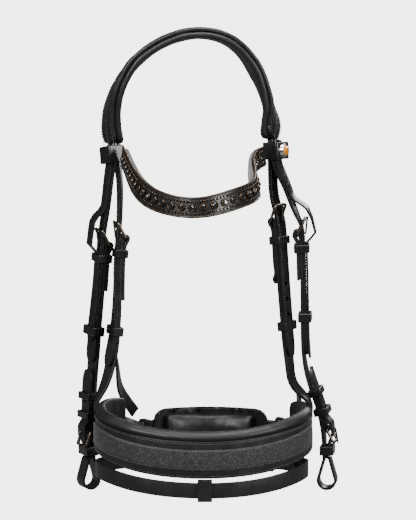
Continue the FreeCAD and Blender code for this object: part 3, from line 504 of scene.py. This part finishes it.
@dataclass
class Piece:
    """A made piece before it is declared: its object and where it belongs."""

    name: str
    body: str
    slot: str
    finish: Finish

    def add(self, verts: Sequence[Vector], faces: Sequence[Sequence[int]],
            smooth: bool = True) -> bpy.types.Object:
        """Args:
            verts: points in the frame, in metres.
            faces: vertex numbers of each face.
            smooth: whether it is shaded smooth.

        Returns:
            The new object.
        """
        mesh = bpy.data.meshes.new(self.name)
        mesh.from_pydata([tuple(v) for v in verts], [], [tuple(f) for f in faces])
        mesh.update()
        work = bmesh.new()
        work.from_mesh(mesh)
        bmesh.ops.recalc_face_normals(work, faces=work.faces)
        work.to_mesh(mesh)
        work.free()
        for face in mesh.polygons:
            face.use_smooth = smooth
        mesh.materials.append(self.finish.material())
        obj = bpy.data.objects.new(self.name, mesh)
        bpy.context.scene.collection.objects.link(obj)
        self.declare(obj)
        return obj

    def declare(self, obj: bpy.types.Object) -> None:
        """Tie the object to its body."""
        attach(obj, self.body)
        LOG.info("%s: %d faces on %s", self.name, len(obj.data.polygons), self.body)


def swept(sections: Sequence[Section], outline: Outline) -> Shape:
    """Skin an outline along sections, with flat ends.

    Args:
        sections: where the outline goes.
        outline: gives (across, out) points in metres for a section and its share of the way.

    Returns:
        The skin's points and faces.
    """
    verts: list[Vector] = []
    faces: list[list[int]] = []
    rows = len(sections)
    size = 0
    for i, place in enumerate(sections):
        points = outline(place, i / (rows - 1))
        size = len(points)
        verts += [place.at(x, y) for x, y in points]
    for i in range(rows - 1):
        for j in range(size):
            a, b = i * size + j, i * size + (j + 1) % size
            faces.append([a, b, b + size, a + size])
    faces.append(list(range(size))[::-1])
    faces.append(list(range((rows - 1) * size, rows * size)))
    return verts, faces


def capsule(start: Vector, end: Vector, up: Vector, radius: float, sides: int = 6,
            rings: int = 4) -> Shape:
    """One stitch: a short thread that dives into its two holes.

    Args:
        start: the first hole.
        end: the second hole.
        up: away from the leather.
        radius: of the thread.
        sides: of its outline.
        rings: outlines along it.

    Returns:
        The stitch's points and faces.
    """
    along = (end - start).normalized()
    side = along.cross(up).normalized()
    verts, faces = [], []
    for i in range(rings):
        share = i / (rings - 1)
        lift = math.sin(math.pi * share) * radius * 1.1 - radius * 0.35
        size = radius * (0.55 + 0.45 * math.sin(math.pi * share))
        centre = start.lerp(end, share) + up * lift
        for j in range(sides):
            a = 2 * math.pi * j / sides
            verts.append(centre + side * math.cos(a) * size + up * math.sin(a) * size)
    for i in range(rings - 1):
        for j in range(sides):
            a, b = i * sides + j, i * sides + (j + 1) % sides
            faces.append([a, b, b + sides, a + sides])
    return verts, faces


def resample(points: Sequence[Vector], pitch: float) -> list[Vector]:
    """Evenly spaced points along a line of points, pitch apart."""
    made, left = [points[0].copy()], pitch
    for a, b in zip(points, points[1:]):
        gap = (b - a).length
        while gap >= left:
            a = a.lerp(b, left / gap)
            made.append(a.copy())
            gap, left = (b - a).length, pitch
        left -= gap
    return made


@dataclass(frozen=True)
class Stitching:
    """A row of saddle stitches: how long, how thick, how far apart, in millimetres."""

    length: float = 2.6
    gap: float = 1.0
    radius: float = 0.33
    finish: Finish = BLACK_THREAD

    def row(self, line: Sequence[Vector], ups: Sequence[Vector]) -> Shape:
        """Stitches along a line.

        Args:
            line: points on the leather's face.
            ups: away from the face at each of them.

        Returns:
            The stitches' points and faces.
        """
        pitch = (self.length + self.gap) * MM
        spots = resample(line, pitch)
        verts, faces = [], []
        for i in range(len(spots) - 1):
            near = min(range(len(line)), key=lambda k: (line[k] - spots[i]).length)
            start = spots[i]
            end = spots[i].lerp(spots[i + 1], self.length / (self.length + self.gap))
            v, f = capsule(start, end, ups[near], self.radius * MM)
            faces += [[k + len(verts) for k in face] for face in f]
            verts += v
        return verts, faces

    def sew(self, name: str, body: str, rows: Sequence[tuple]) -> Optional[bpy.types.Object]:
        """Make one piece of several rows.

        Args:
            name: the piece's name.
            body: the body it rides on.
            rows: (line, ups) pairs.

        Returns:
            The piece, or None where no row is long enough.
        """
        verts, faces = [], []
        for line, ups in rows:
            if len(line) < 2:
                continue
            v, f = self.row(line, ups)
            faces += [[k + len(verts) for k in face] for face in f]
            verts += v
        if not verts:
            return None
        return Piece(name, body, "bridle_leather", self.finish).add(verts, faces)


STITCHES = Stitching()
FINE_STITCHES = Stitching(1.9, 0.8, 0.26)


def face_rows(sections: Sequence[Section], insets: Sequence[float], lift: float = 0.05) -> list:
    """Lines on a strap's outer face, each inset from an edge.

    Args:
        sections: the strap's cuts.
        insets: millimetres from the +across edge, or from the other edge where negative.
        lift: millimetres over the face.

    Returns:
        (line, ups) pairs for Stitching.sew.
    """
    rows = []
    for inset in insets:
        sign = 1 if inset > 0 else -1
        line = [s.at(sign * (s.width / 2 - abs(inset) * MM), s.thick / 2 + lift * MM)
                for s in sections]
        rows.append((line, [s.out for s in sections]))
    return rows


# ---- padding ---------------------------------------------------------------------------------
@dataclass(frozen=True)
class Inflation:
    """Cloth under a little pressure: what fills a padded piece out between its seams."""

    voxel: float = 4.0
    pressure: float = 4.0
    frames: int = 20
    cap: float = 3.0

    def fill(self, obj: bpy.types.Object) -> None:
        """Remesh the object, let pressure swell it, and hold each point within the cap.

        Args:
            obj: a closed form, a little smaller than the pad is to be.
        """
        bpy.context.view_layer.update()
        remesh = obj.modifiers.new("remesh", "REMESH")
        remesh.mode = "VOXEL"
        remesh.voxel_size = self.voxel * MM
        remesh.use_smooth_shade = True
        self.apply(obj)
        start = [vertex.co.copy() for vertex in obj.data.vertices]
        cloth = obj.modifiers.new("cloth", "CLOTH")
        cloth.settings.use_pressure = True
        cloth.settings.uniform_pressure_force = self.pressure
        cloth.settings.effector_weights.gravity = 0
        cloth.settings.quality = 6
        cloth.point_cache.frame_start = 1
        cloth.point_cache.frame_end = self.frames
        scene = bpy.context.scene
        for step in range(1, self.frames + 1):
            scene.frame_set(step)
        self.apply(obj)
        scene.frame_set(1)
        for vertex, was in zip(obj.data.vertices, start):
            move = vertex.co - was
            if move.length > self.cap * MM:
                vertex.co = was + move.normalized() * self.cap * MM

    @staticmethod
    def apply(obj: bpy.types.Object) -> None:
        """Bake the modifiers into the mesh."""
        graph = bpy.context.evaluated_depsgraph_get()
        made = bpy.data.meshes.new_from_object(obj.evaluated_get(graph))
        obj.modifiers.clear()
        obj.data = made


def pillow(width: float, thick: float, seams: Sequence[float], points: int = 40,
           crown: float = 1.0, dip: float = 0.45) -> list[tuple[float, float]]:
    """Outline of stuffed leather: puffed between its seams, flatter underneath.

    Args:
        width: across, in metres.
        thick: full thickness, in metres.
        seams: places across, from -1 to 1, where a seam draws the face down.
        points: on the whole outline.
        crown: how much the face swells.
        dip: how deep a seam goes, as a share of the thickness.

    Returns:
        (across, out) points round the outline, in metres.
    """
    made = []
    for i in range(points):
        turn = 2 * math.pi * i / points
        c, s = math.cos(turn), math.sin(turn)
        x = math.copysign(abs(c) ** 0.55, c)
        y = math.copysign(abs(s) ** 0.6, s)
        draw = sum(math.exp(-((x - seam) / 0.075) ** 2) for seam in seams)
        if y > 0:
            y *= crown * (1 - dip * min(draw, 1.0))
        made.append((x * width / 2, y * thick / 2))
    return made


def soften(obj: bpy.types.Object, levels: int = 1) -> None:
    """Add a subdivision surface."""
    more = obj.modifiers.new("subdivision", "SUBSURF")
    more.levels = more.render_levels = levels


# ---- sub-assemblies --------------------------------------------------------------------------
@dataclass
class Headpiece:
    """Anatomic headpiece: padding under a crown with a stuffed front roll."""

    hub: Vector = field(default_factory=lambda: Vector((-0.008, 0.0, -0.070)))
    seams: tuple[float, ...] = (-0.16, 0.62)
    pad_sweep: tuple[float, float] = (-20, 197)
    crown_sweep: tuple[float, float] = (-18, 195)
    pad_overhang: float = 7.0
    crown_overhang: float = 9.0
    beside_seam: float = 0.075

    def build(self) -> None:
        """Make the pad, the crown leather and their stitching."""
        left, up = Vector((-1, 0, 0)), Vector((0, 1, 0))
        pad = stretched(fanned("headpiece_pad", self.hub, left, up, *self.pad_sweep, 70),
                        self.pad_overhang * MM)
        crown = stretched(fanned("headpiece_crown", self.hub, left, up, *self.crown_sweep, 90),
                          self.crown_overhang * MM)

        def pad_outline(place: Section, share: float) -> list[tuple[float, float]]:
            """Padding that puffs out past the crown leather."""
            return pillow(place.width * 1.02, place.thick * 1.12, ())

        def crown_outline(place: Section, share: float) -> list[tuple[float, float]]:
            """Front roll, groove, central strap, groove, rear welt."""
            ease = min(share, 1 - share, 0.06) / 0.06
            return pillow(place.width, place.thick * (1.3 + 0.5 * ease), self.seams, 56, 1.0, 0.6)
        verts, faces = swept(pad, pad_outline)
        piece = Piece("headpiece_padding", "leather", "padded_leather", SOFT_LEATHER)
        obj = piece.add(verts, faces)
        soften(obj)
        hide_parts("headpiece_pad")
        verts, faces = swept(crown, crown_outline)
        piece = Piece("headpiece_crown_leather", "leather", "bridle_leather", BRIDLE_LEATHER)
        obj = piece.add(verts, faces)
        soften(obj)
        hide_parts("headpiece_crown")
        rows = []
        for seam in self.seams:
            for beside in (-self.beside_seam, self.beside_seam):
                rows.append(self.row(crown, seam + beside, 0.44))
        rows.append(self.row(crown, 0.9, 0.33))
        rows.append(self.row(crown, -0.92, 0.3))
        FINE_STITCHES.sew("headpiece_stitches", "leather", rows)

    @staticmethod
    def row(sections: Sequence[Section], across: float, height: float) -> tuple:
        """A stitch line at a share of the width, at that share of the thickness."""
        line = [s.at(across * s.width / 2, s.thick * 1.8 * height) for s in sections]
        return line, [s.out for s in sections]


def islands(node: str) -> list[tuple[Vector, float]]:
    """Middle and radius of each separate solid in a CAD node."""
    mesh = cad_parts[node].data
    work = bmesh.new()
    work.from_mesh(mesh)
    bmesh.ops.remove_doubles(work, verts=work.verts, dist=0.01 * MM)
    seen, found = set(), []
    for start in work.verts:
        if start.index in seen:
            continue
        stack, members = [start], []
        seen.add(start.index)
        while stack:
            vert = stack.pop()
            members.append(vert.co.copy())
            for edge in vert.link_edges:
                other = edge.other_vert(vert)
                if other.index not in seen:
                    seen.add(other.index)
                    stack.append(other)
        low = Vector([min(m[i] for m in members) for i in range(3)])
        high = Vector([max(m[i] for m in members) for i in range(3)])
        middle = (low + high) / 2
        found.append((middle, max((m - middle).length for m in members)))
    work.free()
    return found


@dataclass(frozen=True)
class CutStone:
    """A round stone cut with a table, eight crown facets and eight more at the girdle."""

    facets: int = 8

    def shape(self, middle: Vector, across: Vector, run: Vector, out: Vector, radius: float,
              height: float) -> Shape:
        """Points and flat facets of one stone.

        Args:
            middle: on its base.
            across: one way in its plane.
            run: the other.
            out: where its table looks.
            radius: at the girdle.
            height: base to table.

        Returns:
            The stone's points and facets.
        """
        n = self.facets
        rings = ((2 * n, 1.0, 0.0, 0.0), (2 * n, 1.0, 0.32, 0.0), (n, 0.78, 0.72, 0.5),
                 (n, 0.5, 1.0, 0.0))
        verts, starts = [], []
        for count, size, rise, turn in rings:
            starts.append(len(verts))
            for i in range(count):
                a = 2 * math.pi * (i + turn) / count
                verts.append(middle + (across * math.cos(a) + run * math.sin(a)) * radius * size
                             + out * height * rise)
        faces = []
        for i in range(2 * n):
            j = (i + 1) % (2 * n)
            faces.append([i, j, starts[1] + j, starts[1] + i])
        for i in range(n):
            j, low = (i + 1) % n, starts[1] + 2 * i
            mid, top = starts[2] + i, starts[3]
            faces.append([low, low + 1, mid])
            faces.append([low + 1, starts[1] + (2 * i + 2) % (2 * n), mid])
            faces.append([mid, starts[1] + (2 * i + 2) % (2 * n), starts[2] + j])
            faces.append([top + i, mid, top + j])
            faces.append([mid, starts[2] + j, top + j])
        faces.append([starts[3] + i for i in range(n)])
        return verts, faces


def ring(middle: Vector, across: Vector, run: Vector, out: Vector, inner: float, outer: float,
         height: float, sides: int = 20, beads: int = 0) -> Shape:
    """A rounded metal ring round a stone, beaded if asked.

    Args:
        middle: on its base.
        across: one way in its plane.
        run: the other.
        out: its axis.
        inner: its inner radius.
        outer: its outer radius.
        height: how high it stands.
        sides: round it.
        beads: how many beads the edge has.

    Returns:
        The ring's points and faces.
    """
    profile = ((inner, 0.0), (outer, 0.0), (outer, height * 0.55), (outer - (outer - inner) * 0.3,
               height), (inner, height * 0.85))
    verts, faces = [], []
    size = len(profile)
    for i in range(sides):
        a = 2 * math.pi * i / sides
        ripple = 1 + (0.05 * math.cos(a * beads) if beads else 0)
        way = across * math.cos(a) + run * math.sin(a)
        verts += [middle + way * r * (ripple if k in (2, 3) else 1) + out * h
                  for k, (r, h) in enumerate(profile)]
    for i in range(sides):
        for j in range(size):
            a, b = i * size + j, i * size + (j + 1) % size
            c = (i + 1) % sides * size
            faces.append([a, b, c + (j + 1) % size, c + j])
    return verts, faces


def gather(shapes: Sequence[Shape]) -> Shape:
    """Many shapes as one list of points and faces."""
    verts, faces = [], []
    for v, f in shapes:
        faces += [[k + len(verts) for k in face] for face in f]
        verts += v
    return verts, faces


@dataclass
class Browband:
    """Browband: piped band, padded lining, and rows of cut stones in stamped settings."""

    hub: Vector = field(default_factory=lambda: Vector((-0.005, -0.040, -0.140)))
    sweep: tuple[float, float] = (-107, 108)
    piping_radius: float = 1.05
    gathers: float = 700.0

    def build(self) -> None:
        """Make the lining, the piping, the stones and their settings."""
        front, up = Vector((0, -1, 0)), Vector((0, 0, 1))
        band = fanned("browband_base", self.hub, front, up, *self.sweep, 120)
        lining = stretched(fanned("browband_lining", self.hub, front, up, *self.sweep, 90),
                           1.5 * MM)

        def soft(place: Section, share: float) -> list[tuple[float, float]]:
            """Lining padded towards the forehead."""
            return [(x, -y) for x, y in pillow(place.width, place.thick * 1.15, (), 28)]
        verts, faces = swept(lining, soft)
        obj = Piece("browband_padded_lining", "browband", "lining_leather",
                    LINING_LEATHER).add(verts, faces)
        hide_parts("browband_lining")
        for name, side in (("browband_top_piping", 1), ("browband_lower_piping", -1)):
            self.piping(name, band, side)
        self.stones(band, "browband_large_stones", 0.94, BLACK_CRYSTAL, "black_crystal", 12)
        self.stones(band, "browband_small_stones", 0.8, SMOKE_CRYSTAL, "bronze_crystal", 0)

    def piping(self, name: str, band: Sequence[Section], side: int) -> None:
        """Rolled piping along one edge of the band."""
        radius = self.piping_radius * MM

        def outline(place: Section, share: float) -> list[tuple[float, float]]:
            """A cord under thin leather, lightly gathered."""
            edge = side * (place.width / 2 - 0.2 * MM)
            swell = 1 + 0.05 * math.sin(share * self.gathers)
            return [(edge + radius * swell * math.cos(2 * math.pi * k / 10),
                     place.thick / 2 + radius * swell * math.sin(2 * math.pi * k / 10))
                    for k in range(10)]
        verts, faces = swept(band, outline)
        Piece(name, "browband", "bridle_leather", PIPING_LEATHER).add(verts, faces)

    def stones(self, band: Sequence[Section], node: str, fit: float, finish: Finish, slot: str,
               beads: int) -> None:
        """Cut stones and their settings, where the CAD node's are."""
        cut_stone, gems, rings = CutStone(), [], []
        for middle, radius in islands(node):
            near = min(band, key=lambda s: (s.middle - middle).length)
            run = near.out.cross(near.across)
            radius *= fit * 0.93
            height = radius * 0.72
            base = middle - near.out * height * 0.35
            gems.append(cut_stone.shape(base + near.out * height * 0.22, near.across, run,
                                        near.out, radius * 0.86, height))
            rings.append(ring(base, near.across, run, near.out, radius * 0.8, radius * 1.08,
                              height * 0.72, 24 if beads else 12, beads))
        gem = Piece(node.replace("browband", "cut"), "browband", slot,
                    finish).add(*gather(gems), smooth=False)
        Piece(node.replace("browband", "set") + "_settings", "browband", "bezel_silver",
              BRONZE_SETTING).add(*gather(rings))
        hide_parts(node)


@dataclass
class Noseband:
    """Noseband: padding with its top roll, printed trim between welts, stitching."""

    hub: Vector = field(default_factory=lambda: Vector((0.003, -0.010, -0.400)))
    roll: float = 11.0
    roll_bulge: float = 3.4
    trim_dome: float = 0.35

    def build(self) -> None:
        """Make the padding, the trim and the stitching."""
        front, up = Vector((0, -1, 0)), Vector((0, 0, 1))
        pad = stretched(fanned("noseband_padding", self.hub, front, up, -119, 113, 90), 2 * MM)
        panel = fanned("noseband_panel", self.hub, front, up, -116, 110, 110)
        trim = fanned("noseband_trim", self.hub, front, up, -84, 82, 90)

        def outline(place: Section, share: float) -> list[tuple[float, float]]:
            """A cushion that turns out over the panel's top edge as a roll."""
            made = []
            top = place.width / 2
            roll = self.roll * MM
            for x, y in pillow(place.width, place.thick, (), 52):
                above = max(0.0, (x - (top - roll)) / roll)
                bulge = math.sin(min(above, 1.0) * math.pi) if above else 0.0
                made.append((x, y + (self.roll_bulge * MM * bulge if y > 0 else 0.0)))
            return made
        verts, faces = swept(pad, outline)
        obj = Piece("noseband_padded_lining", "leather", "padded_leather",
                    SOFT_LEATHER).add(verts, faces)
        soften(obj)
        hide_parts("noseband_padding")
        self.trim(trim)
        rows = face_rows(panel, (2.2, -2.2))
        rows += face_rows(trim, (-1.3, 1.3), 0.35)
        STITCHES.sew("noseband_stitches", "leather", rows)

    def trim(self, sections: Sequence[Section]) -> None:
        """Printed strip, turned in along both edges."""
        def outline(place: Section, share: float) -> list[tuple[float, float]]:
            """Thin strip, very slightly domed."""
            w, t = place.width / 2, place.thick / 2
            dome = [(w * x, t + self.trim_dome * MM * (1 - x * x))
                    for x in (0.98, 0.7, 0.35, 0, -0.35, -0.7, -0.98)]
            return [(-w, -t), (w, -t)] + [(w, t * 0.4)] + dome + [(-w, t * 0.4)]
        verts, faces = swept(sections, outline)
        obj = Piece("noseband_printed_trim", "leather", "trim_leather",
                    TRIM_SUEDE).add(verts, faces)
        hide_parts("noseband_trim")


@dataclass
class ChinPad:
    """Chin pad: stuffed cushion on its stitched leather back."""

    inflation: Inflation = Inflation(3.0, 4.0, 20, 2.0)
    room: float = 3.0
    stitch_inset: float = 1.8

    def build(self) -> None:
        """Make the cushion by simulation, and stitch it to its back."""
        low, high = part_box("chin_pad_back")
        hub = Vector(((low[0] + high[0]) / 2, low[1] - 0.06, (low[2] + high[2]) / 2))
        rear, up = Vector((0, 1, 0)), Vector((0, 0, 1))
        pad = fanned("chin_pad_cushion", hub, rear, up, -35.5, 35.5, 40)
        back = fanned("chin_pad_back", hub, rear, up, -37, 37, 50)

        def outline(place: Section, share: float) -> list[tuple[float, float]]:
            """A little smaller than the cushion, which swells."""
            room = self.room * MM
            return pillow(place.width - room, place.thick - room * 0.6, (), 32)
        verts, faces = swept(pad, outline)
        obj = Piece("chin_pad_stuffed", "chin_pad", "padded_leather",
                    SOFT_LEATHER).add(verts, faces)
        self.inflation.fill(obj)
        soften(obj)
        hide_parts("chin_pad_cushion")
        rows = []
        for side in (1, -1):
            line = [s.at(side * (s.width / 2 - self.stitch_inset * MM), -s.thick / 2 - 0.1 * MM)
                    for s in back]
            rows.append((line, [-s.out for s in back]))
        FINE_STITCHES.sew("chin_pad_stitches", "chin_pad", rows)


class Work(Enum):
    """How a carried-over CAD node is finished."""

    STRAP = "strap"
    BILLET = "billet"
    METAL = "metal"
    BEZEL = "bezel"
    STONE = "stone"


METAL_WORDS = ("buckle", "prong", "ring", "roller")
BILLET_WORDS = ("billet", "loops", "runner", "keeper")
LOOP_EASE = 0.7
STRAP_EASE = 0.45
EASED_FROM = 42.0


def work_of(name: str) -> Work:
    """What a CAD node is, by its name."""
    if name == "stud_bezel":
        return Work.BEZEL
    if name == "stud_crystal":
        return Work.STONE
    if any(word in name for word in METAL_WORDS):
        return Work.METAL
    return Work.BILLET if any(word in name for word in BILLET_WORDS) else Work.STRAP


FINISHES = {Work.STRAP: BRIDLE_LEATHER, Work.BILLET: BILLET_LEATHER, Work.METAL: BUCKLE_METAL,
            Work.BEZEL: SILVER_BEZEL, Work.STONE: AMBER_CRYSTAL}


def is_loop(name: str) -> bool:
    """Whether a CAD node is a keeper, runner or browband loop, whose edges are rounder."""
    return any(word in name for word in ("keeper", "runner", "loops"))


def dress(node: bpy.types.Object) -> None:
    """Give a carried-over CAD node its finish and its eased edges."""
    work = work_of(node.name)
    node.data.materials.clear()
    node.data.materials.append(FINISHES[work].material())
    if work in (Work.STRAP, Work.BILLET):
        weld = node.modifiers.new("weld", "WELD")
        weld.merge_threshold = 0.01 * MM
        edge = node.modifiers.new("eased edge", "BEVEL")
        edge.width = (LOOP_EASE if is_loop(node.name) else STRAP_EASE) * MM
        edge.segments = 3
        edge.limit_method, edge.angle_limit = "ANGLE", math.radians(EASED_FROM)
        edge.harden_normals = False


@dataclass
class Straps:
    """Stitching along the hanging billets and rear legs."""

    inset: float = 1.8
    from_top: float = 12.0
    from_end: float = 16.0
    cuts: int = 60

    def build(self) -> None:
        """Stitch both edges of each strap that hangs free."""
        for side, hand in (("near", 1), ("off", -1)):
            outward = Vector((hand * 0.9, -0.5, 0))
            for strap in ("noseband_billet_", "cheek_billet_", "rear_leg_"):
                cuts = falling(strap + side, self.from_top * MM, self.from_end * MM, self.cuts,
                               outward)
                FINE_STITCHES.sew(strap + side + "_stitches", "leather",
                                  face_rows(cuts, (self.inset, -self.inset)))


@dataclass(frozen=True)
class Studio:
    """Pale sweep, soft light and the camera."""

    azimuth: float = 0.0
    elevation: float = 6.0
    distance: float = 1.9
    lens: float = 131.54
    room_light: float = 0.35
    drop: float = 12.0

    def build(self) -> None:
        """Make the floor, the lights, the world and the camera."""
        low, high = CAD_BOX
        aim = Vector((0.008, 0.0, (low[2] + high[2]) / 2 + 0.003))
        self.floor(low[2] - self.drop * MM)
        for name, place, size, power in (("key", (-0.9, -1.3, 0.7), 0.7, 40),
                                         ("fill", (1.2, -1.1, 0.3), 0.7, 26),
                                         ("top", (0.1, -0.2, 1.2), 0.8, 30),
                                         ("rim", (0.6, 1.2, 0.4), 0.7, 12)):
            light = bpy.data.lights.new(name, "AREA")
            light.size, light.energy = size, power
            obj = bpy.data.objects.new(name, light)
            obj.location = place
            obj.rotation_euler = (aim - Vector(place)).to_track_quat("-Z", "Y").to_euler()
            bpy.context.scene.collection.objects.link(obj)
        world = bpy.data.worlds.new("studio")
        world.use_nodes = True
        tree = world.node_tree
        tree.nodes.clear()
        seen = add_node(tree, "ShaderNodeLightPath").outputs["Is Camera Ray"]
        pale = linear(BACKDROP.colour)
        room = add_node(tree, "ShaderNodeBackground", {"Color": pale, "Strength": self.room_light})
        sweep = add_node(tree, "ShaderNodeBackground",
                         {"Color": pale, "Strength": BACKDROP.glow})
        mix = add_node(tree, "ShaderNodeMixShader", None,
                       {0: seen, 1: room.outputs[0], 2: sweep.outputs[0]})
        add_node(tree, "ShaderNodeOutputWorld", None, {"Surface": mix.outputs[0]})
        bpy.context.scene.world = world
        camera = bpy.data.cameras.new("camera")
        camera.lens, camera.sensor_width = self.lens, 36.0
        obj = bpy.data.objects.new("camera", camera)
        a, e = math.radians(self.azimuth), math.radians(self.elevation)
        way = Vector((math.sin(a) * math.cos(e), -math.cos(a) * math.cos(e), math.sin(e)))
        obj.location = aim + way * self.distance
        obj.rotation_euler = (-way).to_track_quat("-Z", "Y").to_euler()
        bpy.context.scene.collection.objects.link(obj)
        bpy.context.scene.camera = obj

    @staticmethod
    def floor(height: float) -> None:
        """A sweep of paper that turns up behind the bridle."""
        half, reach, turn = 4.0, 2.2, 0.8
        line = [(-6.0, 0.0), (reach - turn, 0.0)]
        line += [(reach - turn + turn * math.sin(a), turn - turn * math.cos(a))
                 for a in (math.pi / 2 * k / 12 for k in range(1, 13))]
        line.append((reach, 5.0))
        verts = [(x, y, height + z) for y, z in line for x in (-half, half)]
        faces = [(2 * i, 2 * i + 1, 2 * i + 3, 2 * i + 2) for i in range(len(line) - 1)]
        mesh = bpy.data.meshes.new("backdrop")
        mesh.from_pydata(verts, [], faces)
        for face in mesh.polygons:
            face.use_smooth = True
        mesh.materials.append(BACKDROP.material())
        obj = bpy.data.objects.new("backdrop", mesh)
        bpy.context.scene.collection.objects.link(obj)


def main() -> None:
    """Build each sub-assembly around the frame and give every carried-over node its finish."""
    logging.basicConfig(level=logging.INFO, format="%(message)s")
    for part in (Studio(), Headpiece(), Browband(), Noseband(), ChinPad(), Straps()):
        part.build()
    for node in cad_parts.values():
        dress(node)


if __name__ == "__main__":
    main()
